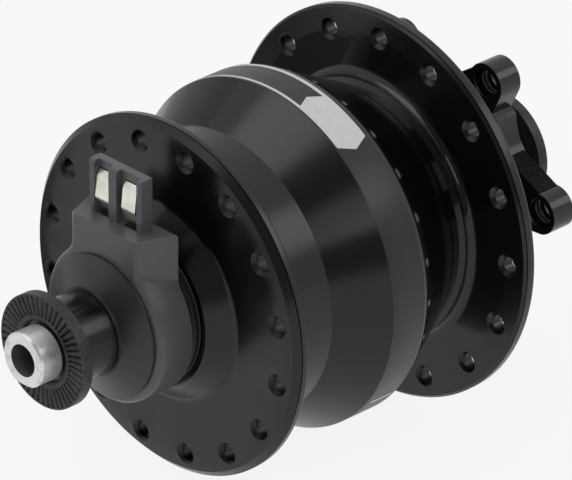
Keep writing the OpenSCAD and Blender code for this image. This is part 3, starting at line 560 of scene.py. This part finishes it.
# %% [markdown]
# ## Working on a copy of a part
#
# A CAD part's mesh is a soup of loose triangles and stays as it is. A piece that needs finer
# edges starts as a copy whose triangles are joined. On a large flat face some triangles may fold
# over their neighbours, which is unseen until the copy gets new normals, so such a face is
# filled again. Flat faces then become single polygons, so that a bevel can round their edges.


# %% Joined copies
WELD = 0.0005 * MM
FLAT = math.radians(0.02)


def link(name, mesh):
    """A new object at the origin."""
    piece = bpy.data.objects.new(name, mesh)
    bpy.context.scene.collection.objects.link(piece)
    return piece


def solid(name, work):
    """A new object from a closed bmesh, with its faces turned outward."""
    bmesh.ops.recalc_face_normals(work, faces=work.faces)
    mesh = bpy.data.meshes.new(name)
    work.to_mesh(mesh)
    work.free()
    return link(name, mesh)


def plane_of(face):
    """A key that faces in one plane share, whichever way they look."""
    normal = face.normal.copy()
    if normal[max(range(3), key=lambda axis: abs(normal[axis]))] < 0:
        normal.negate()
    distance = normal.dot(face.verts[0].co) / MM
    return tuple(round(value, 3) for value in normal) + (round(distance, 2),)


def unfold(work):
    """Fills each flat face again whose triangles fold over each other."""
    planes = {}
    for face in work.faces:
        planes.setdefault(plane_of(face), set()).add(face)
    for key, faces in planes.items():
        edges = {edge for face in faces for edge in face.edges}
        inner = [edge for edge in edges if all(face in faces for face in edge.link_faces)]
        if not any(edge.link_faces[0].normal.dot(edge.link_faces[1].normal) < 0 for edge in inner):
            continue
        normal = sum((face.normal * face.calc_area() for face in faces), Vector()).normalized()
        rim = [edge for edge in edges if edge not in inner]
        bmesh.ops.delete(work, geom=list(faces), context="FACES_KEEP_BOUNDARY")
        filled = bmesh.ops.triangle_fill(work, edges=rim, use_beauty=True, normal=normal)
        for face in filled["geom"]:
            if isinstance(face, bmesh.types.BMFace) and face.normal.dot(normal) < 0:
                face.normal_flip()
        print("Filled a flat face again:", key)


def joined_copy(node, name):
    """A copy of a part with its triangles joined and its flat faces made whole."""
    mesh = nodes[node].data.copy()
    mesh.name = name
    if "custom_normal" in mesh.attributes:
        mesh.attributes.remove(mesh.attributes["custom_normal"])
    work = bmesh.new()
    work.from_mesh(mesh)
    bmesh.ops.remove_doubles(work, verts=work.verts, dist=WELD)
    work.normal_update()
    unfold(work)
    bmesh.ops.dissolve_limit(work, angle_limit=FLAT, verts=work.verts, edges=work.edges)
    work.to_mesh(mesh)
    work.free()
    return link(name, mesh)


# %% [markdown]
# ## Rounding and cutting
#
# Bevels, cuts and weighted normals are simplest as modifiers. Each one is applied at once, so that
# the next step works on real faces. Shading is smooth again after it, but for the real edges.


# %% Bevels, cuts and normals
SHARP_EDGE = math.radians(30)
BEVEL_STEPS = 2


def apply_modifiers(piece):
    """Replaces a piece's mesh by what its modifiers make of it, normals included."""
    bpy.context.view_layer.update()
    graph = bpy.context.evaluated_depsgraph_get()
    mesh = bpy.data.meshes.new_from_object(piece.evaluated_get(graph))
    piece.modifiers.clear()
    piece.data = mesh


def apply_smooth(piece):
    """Applies a piece's modifiers, and shades it smooth but for real edges."""
    apply_modifiers(piece)
    piece.data.shade_smooth()
    piece.data.set_sharp_from_angle(angle=SHARP_EDGE)


def round_edges(piece, width, degrees=35):
    """Rounds the edges that turn by more than some degrees, by a width in millimetres."""
    bevel = piece.modifiers.new("edges", "BEVEL")
    bevel.width = width * MM
    bevel.segments = BEVEL_STEPS
    bevel.limit_method = "ANGLE"
    bevel.angle_limit = math.radians(degrees)
    bevel.use_clamp_overlap = False
    apply_smooth(piece)


def weigh_normals(piece):
    """Lets the large faces rule the shading, so that only the rounded edges bend the light."""
    weighted = piece.modifiers.new("flat_faces", "WEIGHTED_NORMAL")
    weighted.keep_sharp = True
    weighted.weight = 100
    apply_modifiers(piece)


def cut(piece, cutter):
    """Takes one solid out of another and deletes the cutter."""
    boolean = piece.modifiers.new("cut", "BOOLEAN")
    boolean.operation = "DIFFERENCE"
    boolean.solver = "EXACT"
    boolean.object = cutter
    apply_smooth(piece)
    bpy.data.objects.remove(cutter)


def dress(piece, body, slot, *replaced):
    """Puts a piece on its body, hides the parts that it replaces and prints its number of faces.
    """
    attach(piece, body)
    if replaced:
        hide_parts(*replaced)
    print(piece.name, "has", len(piece.data.polygons), "faces")


# %% [markdown]
# ## The printed label
#
# The band carries a white print with pointed ends, and a bare dark window framed in it. Paint
# could be a mask in the band's finish, but its edge would be soft at this size. A very thin sheet
# that follows the band has a crisp edge and real thickness. A short tick further round belongs
# to the same print.

# %% Shapes on the band
BAND_SURFACE = 28.9
PAINT, PAINT_SHARE = 0.02, 0.9
LABEL_STEP = 1.5


def stepped(points):
    """An outline in angle and distance, with extra points along its long sides."""
    result = []
    for start, end in zip(points, points[1:] + points[:1]):
        steps = max(1, math.ceil(abs(end[0] - start[0]) / LABEL_STEP))
        for step in range(steps):
            part = step / steps
            result.append(Vector((
                start[0] + (end[0] - start[0]) * part,
                start[1] + (end[1] - start[1]) * part,
            )))
    return result


def printed(name, points, layer, finish):
    """A sheet of paint on the band. Its outline is in degrees round and millimetres along."""
    outline = stepped(points)
    count = len(outline)
    edges = [(i, (i + 1) % count) for i in range(count)]
    flat, _, faces, *_ = delaunay_2d_cdt(outline, edges, [], 1, 1e-4)
    mesh = bpy.data.meshes.new(name)
    top = BAND_SURFACE + PAINT * layer
    mesh.from_pydata([around(top, p.x, p.y) for p in flat], [], faces)
    piece = link(name, mesh)
    work = bmesh.new()
    work.from_mesh(mesh)
    bmesh.ops.recalc_face_normals(work, faces=work.faces)
    sample = work.faces[:][0]
    outward = sample.calc_center_median()
    outward.y = 0.0
    if sample.normal.dot(outward) < 0:
        bmesh.ops.reverse_faces(work, faces=work.faces)
    work.to_mesh(mesh)
    work.free()
    thickness = piece.modifiers.new("paint", "SOLIDIFY")
    thickness.thickness = PAINT * PAINT_SHARE * MM
    thickness.offset = -1.0
    apply_smooth(piece)
    piece.data.materials.append(finish.material)
    dress(piece, "hub_shell_unit", "black_alloy")


# %% Print the label
LABEL_LOW, LABEL_HIGH = -3.07, 2.93
LABEL_TIP, LABEL_SHOULDER = 54.2, 57.0
WINDOW_START, WINDOW_CORNER = 78.4, 76.0
LABEL_MIDDLE = 102.0
BORDER_LOW, BORDER_HIGH = 0.55, 0.7
TICK_ANGLE, TICK_WIDTH = -38.5, 1.7
TICK_LOW, TICK_HIGH = -2.1, 2.3


def paint(name, colour, roughness):
    """Screen print: flat colour with faint mottling and a slight gloss."""
    finish = Finish(name, IOR=1.48)
    mottle = finish.noise(finish.place, 1500.0, 3.0)
    dull = tuple(channel * 0.93 for channel in colour[:3]) + (1.0,)
    finish.feed(
        Base_Color=finish.blend(finish.ramp(mottle, 0.35, 0.7), colour, dull),
        Roughness=finish.ramp(mottle, 0.3, 0.7, roughness - 0.05, roughness + 0.05),
    )
    finish.bump(mottle, 0.002)
    return finish


def mirrored(points):
    """The same points on the other side of the label's middle, in reverse order."""
    return [(2 * LABEL_MIDDLE - angle, y) for angle, y in reversed(points)]


white_paint = paint("white_print", (0.83, 0.83, 0.83, 1.0), 0.4)
dark_paint = paint("dark_print", grey(0.02), 0.42)
label_center = (LABEL_LOW + LABEL_HIGH) / 2
end_points = [(LABEL_SHOULDER, LABEL_HIGH), (LABEL_TIP, label_center), (LABEL_SHOULDER, LABEL_LOW)]
printed("label_white", end_points + mirrored(end_points), 1, white_paint)
window_low, window_high = LABEL_LOW + BORDER_LOW, LABEL_HIGH - BORDER_HIGH
notch = [(WINDOW_CORNER, window_high), (WINDOW_START, label_center), (WINDOW_CORNER, window_low)]
printed("label_window", notch + mirrored(notch), 2, dark_paint)
tick_start, tick_end = TICK_ANGLE - TICK_WIDTH / 2, TICK_ANGLE + TICK_WIDTH / 2
tick = [(tick_start, TICK_LOW), (tick_end, TICK_LOW), (tick_end, TICK_HIGH),
        (tick_start, TICK_HIGH)]
printed("label_tick", tick, 1, white_paint)

# %% [markdown]
# ## The drum and its lugs
#
# The rotor's bolts screw into six lugs. The frame has plain holes of the thread's inner size, so
# the drum's copy is opened to the outer size, and the ridge of the thread goes back in later.

# %% Open the six holes
LUG_LOW, LUG_HIGH = 35.2, 39.5
ROD_OVER = 1.0


def rods(middles, radius, length, sides=48):
    """Rods parallel to the axle, one round each middle, as one mesh."""
    work = bmesh.new()
    lie = Matrix.Rotation(math.pi / 2, 4, "X")
    for middle in middles:
        bmesh.ops.create_cone(
            work, cap_ends=True, segments=sides, radius1=radius * MM, radius2=radius * MM,
            depth=length * MM, matrix=Matrix.Translation(middle) @ lie,
        )
    return solid("rods", work)


drum = joined_copy("hub_shell", "turned_drum")
holes = [around(LUG_CIRCLE, LUG_ANGLE + LUG_STEP * index, (LUG_LOW + LUG_HIGH) / 2)
         for index in range(LUG_COUNT)]
cut(drum, rods(holes, THREAD_OUTER, LUG_HIGH - LUG_LOW + 2 * ROD_OVER))
print("Holes opened:", len(holes))

# %% [markdown]
# ## The flanges' rims
#
# Each rim has a wide bevel towards the near side, a fine groove where the bevel ends, and a
# rounded far edge that catches a thin line of light. The frame's rims have small plain bevels.
# A lathe tool would turn the new outline, and here a ring with that outline is cut away.

# %% Turn the rims
# A rim is its radius, its near side and its far side in millimetres.
DRUM_RIM, DRUM_BEVEL = (32.8, 21.35, 23.6), 0.4
CAP_RIM, CAP_BEVEL = (29.64, -24.56, -22.1), 0.9
RIM_SINK, SIDE_OVER, FAR_OVER, RING_WALL = 0.04, 0.2, 0.02, 1.0
GROOVE_WIDTH, GROOVE_DEPTH = 0.24, 0.28
RIM_ROUND, ROUND_STEPS = 0.5, 6
RING_STEPS = 240


def turned_ring(profile):
    """A closed outline in radius and distance, turned once round the axle."""
    work = bmesh.new()
    rings = [[work.verts.new(around(radius, 360 * step / RING_STEPS, y)) for radius, y in profile]
             for step in range(RING_STEPS)]
    for ring, after in zip(rings, rings[1:] + rings[:1]):
        for index in range(len(profile)):
            work.faces.new((ring[index - 1], ring[index], after[index], after[index - 1]))
    return solid("ring", work)


def rim_outline(rim, bevel):
    """What the lathe takes off a rim, given as its radius, near side and far side."""
    radius, near, far = rim
    top = radius - RIM_SINK
    slope_end = near + bevel
    outline = [(top - bevel - SIDE_OVER, near - SIDE_OVER), (top, slope_end),
               (top - GROOVE_DEPTH, slope_end + GROOVE_WIDTH / 2), (top, slope_end + GROOVE_WIDTH)]
    for step in range(ROUND_STEPS):
        turn = math.radians(90 * step / ROUND_STEPS)
        outline.append((top - RIM_ROUND * (1 - math.cos(turn)),
                        far + FAR_OVER - RIM_ROUND * (1 - math.sin(turn))))
    outline += [(outline[-1][0], far + SIDE_OVER), (radius + RING_WALL, far + SIDE_OVER),
                (radius + RING_WALL, near - SIDE_OVER)]
    return outline


cut(drum, turned_ring(rim_outline(DRUM_RIM, DRUM_BEVEL)))
cap = joined_copy("end_cap", "turned_end_cap")
cut(cap, turned_ring(rim_outline(CAP_RIM, CAP_BEVEL)))
print("Rims turned at radius", DRUM_RIM[0], "and", CAP_RIM[0])

# %% [markdown]
# ## The forged skin
#
# The drum is forged before it is turned. The rib beside each lug is out of the tool's reach, so
# its side keeps a dull and dented skin. A mask would have to follow the rib's outline. It is
# simpler to pick the ribs' faces by place and by the way they look, and give them a material.

# %% Leave the ribs forged
RIB_FROM, RIB_TO, RIB_LOOKS = 6.0, 26.0, 61.0
LOOKS_WITHIN, LEAN_WITHIN = 1.0, 0.1


def forged_skin():
    """The dented, dull skin that forging leaves where no tool has turned it away."""
    finish = Finish("forged_skin", IOR=1.15)
    dents = finish.noise(finish.place, 1500.0, 3.0, 0.6)
    finish.feed(
        Base_Color=finish.blend(finish.ramp(dents, 0.45, 0.7), grey(0.001), grey(0.009)),
        Roughness=finish.ramp(dents, 0.3, 0.7, 0.25, 0.45),
    )
    finish.bump(dents, 0.2)
    return finish


def from_lug(direction):
    """The angle of a direction round the axle, in degrees from the first lug."""
    return math.degrees(math.atan2(direction.z, direction.x)) - LUG_ANGLE


def on_rib(face):
    """Whether a face is the flat side of the rib beside some lug."""
    half = LUG_STEP / 2
    off = (from_lug(face.normal) - RIB_LOOKS + half) % LUG_STEP - half
    beside_lug = RIB_FROM < from_lug(face.center) % LUG_STEP < RIB_TO
    upright = abs(face.normal.y) < LEAN_WITHIN and face.center.y > LUG_ZONE * MM
    return beside_lug and upright and abs(off) < LOOKS_WITHIN


drum.data.materials.append(forged_skin().material)
ribs = [face for face in drum.data.polygons if on_rib(face)]
for face in ribs:
    face.material_index = len(drum.data.materials) - 1
print("Forged faces:", len(ribs))
dress(drum, "hub_shell_unit", "black_alloy", "hub_shell")
dress(cap, "hub_shell_unit", "black_alloy", "end_cap")

# %% [markdown]
# ## Threads in the lugs
#
# A thread is a ridge wound along a spiral, and the same thread comes back six times round the
# axle: a rule, and so a job for Geometry Nodes. A small four-sided profile follows a spiral
# curve, and a circle of points places the copies. Oil keeps the threads dark.

# %% Wind the threads
THREAD_PITCH = 0.8
THREAD_SIZES = (
    ("Count", "Int"), ("Circle", "Float"), ("Ridge Radius", "Float"), ("Ridge Size", "Float"),
    ("Turns", "Float"), ("Length", "Float"), ("Start", "Float"), ("First Angle", "Float"),
)


def thread_tree(finish):
    """Geometry Nodes: a spiral ridge, repeated round the axle."""
    tree = bpy.data.node_groups.new("lug_threads", "GeometryNodeTree")
    tree.interface.new_socket("Geometry", in_out="OUTPUT", socket_type="NodeSocketGeometry")
    for name, kind in THREAD_SIZES:
        tree.interface.new_socket(name, in_out="INPUT", socket_type="NodeSocket" + kind)
    given = add_node(tree, "NodeGroupInput").outputs

    def add(kind, inputs):
        """Adds a geometry node and gives its first output."""
        return add_node(tree, "GeometryNode" + kind, inputs).outputs[0]

    def along(axis, value):
        """A vector along one axis."""
        return add_node(tree, "ShaderNodeCombineXYZ", {axis: value}).outputs[0]

    spiral = add("CurveSpiral", {
        "Resolution": 40, "Rotations": given["Turns"], "Height": given["Length"],
        "Start Radius": given["Ridge Radius"], "End Radius": given["Ridge Radius"]})
    profile = add("CurvePrimitiveCircle", {"Resolution": 4, "Radius": given["Ridge Size"]})
    ridge = add("CurveToMesh", {"Curve": spiral, "Profile Curve": profile, "Fill Caps": True})
    circle = add("MeshCircle", {"Vertices": given["Count"], "Radius": given["Circle"]})
    placed = add("InstanceOnPoints", {"Points": circle, "Instance": ridge})
    turned = add("Transform", {"Geometry": placed, "Rotation": along("Z", given["First Angle"])})
    laid = add("Transform", {"Geometry": turned, "Rotation": (-math.pi / 2, 0.0, 0.0),
                             "Translation": along("Y", given["Start"])})
    coated = add("SetMaterial", {"Geometry": add("RealizeInstances", {0: laid}),
                                 "Material": finish.material})
    add_node(tree, "NodeGroupOutput", {0: coated})
    return tree


def set_sizes(modifier, **values):
    """Sets a tree's named inputs by their identifiers."""
    for item in modifier.node_group.interface.items_tree:
        if item.in_out == "INPUT" and item.name.replace(" ", "_") in values:
            modifier[item.identifier] = values[item.name.replace(" ", "_")]


oiled_thread = moulded("oiled_thread", grey(0.002), 0.34, 0.004, ior=1.22)
thread_length = LUG_HIGH - LUG_LOW - THREAD_PITCH
threads = link("lug_threads", bpy.data.meshes.new("lug_threads"))
winding = threads.modifiers.new("threads", "NODES")
winding.node_group = thread_tree(oiled_thread)
set_sizes(
    winding, Count=LUG_COUNT, Circle=LUG_CIRCLE * MM,
    Ridge_Radius=THREAD_OUTER * MM, Ridge_Size=(THREAD_OUTER - THREAD_INNER) * MM,
    Turns=thread_length / THREAD_PITCH, Length=thread_length * MM,
    Start=(LUG_LOW + THREAD_PITCH / 2) * MM, First_Angle=-math.radians(LUG_ANGLE),
)
apply_smooth(threads)
dress(threads, "hub_shell_unit", "black_alloy")

# %% [markdown]
# ## The connector with soft edges
#
# A moulded part has no sharp outer edges, and in the photograph every edge of the grey housing
# catches the light. A bevel on the joined copy rounds them all at once. The round mark of the
# mould's ejector pin is pressed into the middle rib.

# %% Round the connector
EJECTOR_MARK = Vector((-0.71, -35.0, 23.98))
EJECTOR_RADIUS, EJECTOR_DEPTH = 0.5, 0.06
CONNECTOR_ROUND = 0.1

connector = joined_copy("connector_housing", "connector")
round_edges(connector, CONNECTOR_ROUND)
cut(connector, rods([EJECTOR_MARK * MM], EJECTOR_RADIUS, 2 * EJECTOR_DEPTH, sides=40))
weigh_normals(connector)
dress(connector, "axle_unit", "grey_plastic", "connector_housing")

# %% [markdown]
# ## The contact springs
#
# Each spring is one silvered strip. It leaves the block, leans forward to a sharp bend where the
# plug's blade rubs, and then runs up as a nearly flat blade whose tip is tucked behind the lintel.

# %% Bend the springs
SPRING_THICKNESS, SPRING_ROUND = 0.3, 0.05
FRONT_LIFT = 0.35


def spring_path(lift):
    """A spring's middle line in Y and Z. The lift raises its sharp bend."""
    return ((-33.4, 14.45), (-33.4, 16.7), (-33.6, 17.2), (-34.62, 19.35 + lift),
            (-34.74, 19.65 + lift), (-34.72, 19.95 + lift), (-34.4, 23.2), (-34.2, 23.65),
            (-33.75, 24.1))


def bent_strip(name, x0, x1, path, thickness):
    """A strip of constant thickness along a path in Y and Z."""
    points = [Vector(point) for point in path]
    sides = ([], [])
    for index, point in enumerate(points):
        before = points[max(index - 1, 0)]
        after = points[min(index + 1, len(points) - 1)]
        way = (after - before).normalized()
        for side, sign in zip(sides, (0.5, -0.5)):
            side.append(point + Vector((-way.y, way.x)) * thickness * sign)
    ring = sides[0] + sides[1][::-1]
    count = len(ring)
    places = [Vector((x, p.x, p.y)) * MM for x in (x0, x1) for p in ring]
    faces = [(i, (i + 1) % count, (i + 1) % count + count, i + count) for i in range(count)]
    for i in range(len(points) - 1):
        j = count - 1 - i
        faces += [(i + 1, i, j, j - 1), (i + count, i + 1 + count, j - 1 + count, j + count)]
    mesh = bpy.data.meshes.new(name)
    mesh.from_pydata(places, [], faces)
    work = bmesh.new()
    work.from_mesh(mesh)
    bmesh.ops.recalc_face_normals(work, faces=work.faces)
    work.to_mesh(mesh)
    work.free()
    mesh.materials.append(spring_plate.material)
    return link(name, mesh)


for side, lift in (("rear", 0.0), ("front", FRONT_LIFT)):
    low, high = box_mm(side + "_contact")
    spring = bent_strip(side + "_spring", low.x, high.x, spring_path(lift), SPRING_THICKNESS)
    round_edges(spring, SPRING_ROUND, degrees=50)
    weigh_normals(spring)
    dress(spring, "axle_unit", "contact_metal", side + "_contact")

# %% [markdown]
# ## The studio
#
# The hub stands on a white floor in a white studio. Black anodising shows little colour of its
# own: what makes it readable is what it reflects. The floor and the backdrop are white to the
# camera and in reflections, large soft lamps hang above, and the room behind the camera is dim.

# %% Floor
FLOOR_SIZE = 6.0
SEEN_SHARE, MIRRORED_SHARE = 0.88, 0.7
floor_z = cad_box[0][2]
half = FLOOR_SIZE / 2
floor_mesh = bpy.data.meshes.new("floor")
floor_mesh.from_pydata(
    [(-half, -half, floor_z), (half, -half, floor_z), (half, half, floor_z),
     (-half, half, floor_z)], [], [(0, 1, 2, 3)])
floor = link("floor", floor_mesh)
paper = Finish("floor", Base_Color=grey(0.8), Roughness=0.9, Specular_IOR_Level=0.0)
rays = paper.add("LightPath").outputs
glow = paper.add("Emission", {"Strength": 1.0}).outputs[0]
share = paper.sum("MULTIPLY", rays["Is Glossy Ray"], MIRRORED_SHARE)
share = paper.sum("MULTIPLY_ADD", rays["Is Camera Ray"], SEEN_SHARE, share)
lit = paper.add("MixShader", {0: share, 1: paper.shader.outputs[0], 2: glow}).outputs[0]
paper.tree.links.new(lit, paper.tree.nodes["Material Output"].inputs["Surface"])
floor_mesh.materials.append(paper.material)
print("Floor at", round(floor_z / MM, 1), "mm")

# %% [markdown]
# The world is white to the camera. To the other rays it is an even, dim light, and in
# reflections it is bright beyond the hub and fades to a dim room on the camera's side.

# %% Backdrop and room
AMBIENT = 0.42
DIM_ROOM = 0.26
FADE_FROM, FADE_TO = 0.1, 0.6
world = bpy.data.worlds.new("studio")
bpy.context.scene.world = world
world.use_nodes = True
tree = world.node_tree
tree.nodes.clear()
rays = add_node(tree, "ShaderNodeLightPath").outputs
direction = add_node(tree, "ShaderNodeTexCoord").outputs["Generated"]
behind = add_node(
    tree, "ShaderNodeVectorMath",
    {0: direction, 1: Vector((away.x, away.y, 0.0)).normalized()}, operation="DOT_PRODUCT",
).outputs["Value"]
dim = add_node(
    tree, "ShaderNodeMapRange",
    {"Value": behind, "From Min": FADE_FROM, "From Max": FADE_TO, "To Min": 1.0,
     "To Max": DIM_ROOM}, interpolation_type="SMOOTHSTEP",
).outputs[0]
by_ray = add_node(
    tree, "ShaderNodeMix", {"Factor": rays["Is Glossy Ray"], "A": AMBIENT, "B": dim}).outputs[0]
to_camera = add_node(
    tree, "ShaderNodeMix", {"Factor": rays["Is Camera Ray"], "A": by_ray, "B": 1.0}).outputs[0]
light = add_node(tree, "ShaderNodeBackground", {"Strength": to_camera}).outputs[0]
add_node(tree, "ShaderNodeOutputWorld", {"Surface": light})
print("The room behind the camera has brightness", DIM_ROOM)

# %% [markdown]
# Three large lamps give the soft streaks: one overhead, one beside the camera, and one on the
# rotor's side, which lights the edges that are turned away.


# %% Soft lamps
def soft_lamp(name, place, size, power):
    """A rectangular lamp at a place in metres, turned to the hub."""
    data = bpy.data.lights.new(name, "AREA")
    data.shape = "RECTANGLE"
    data.size, data.size_y = size
    data.energy = power
    lamp = bpy.data.objects.new(name, data)
    bpy.context.scene.collection.objects.link(lamp)
    place = Vector(place)
    turn = place.to_track_quat("Z", "Y").to_matrix().to_4x4()
    lamp.matrix_world = Matrix.Translation(place) @ turn
    print(name, "at", tuple(round(value, 2) for value in place))


soft_lamp("overhead_lamp", (-0.25, -0.28, 1.15), (0.9, 0.9), 3.6)
soft_lamp("camera_side_lamp", (0.95, -0.45, 0.68), (0.3, 0.5), 0.9)
soft_lamp("far_side_lamp", (0.74, 0.80, 0.71), (0.7, 0.5), 1.8)

# %% [markdown]
# Two cards to the left are seen only in reflections. The near flange's rim mirrors the dark one,
# which lies on the floor, and the top of the drum mirrors the pale one, which stands. They give
# both their darker stretch.

# %% Cards for the reflections
CARD_NEAR, CARD_FAR, CARD_LIFT = 66, 200, 0.5


def card(name, corners, shade):
    """A flat card through four corners in millimetres."""
    mesh = bpy.data.meshes.new(name)
    mesh.from_pydata([Vector(corner) * MM for corner in corners], [], [(0, 1, 2, 3)])
    mesh.materials.append(moulded(name + "_paper", grey(shade), 0.9, 0.01).material)
    piece = link(name, mesh)
    piece.visible_camera = False
    piece.visible_diffuse = False
    piece.visible_shadow = False
    print(name, "has shade", shade)


def on_floor(distance, degrees):
    """A point just above the floor, at a distance and direction from the hub."""
    angle = math.radians(degrees)
    return distance * math.cos(angle), distance * math.sin(angle), floor_z / MM + CARD_LIFT


card("dark_card", (on_floor(CARD_NEAR, -141), on_floor(CARD_NEAR, -172),
                    on_floor(CARD_FAR, -160), on_floor(CARD_FAR, -145)), 0.2)
card("pale_card", ((-250, -60, -30), (-250, 100, -30), (-250, 100, 190), (-250, -60, 190)), 0.9)
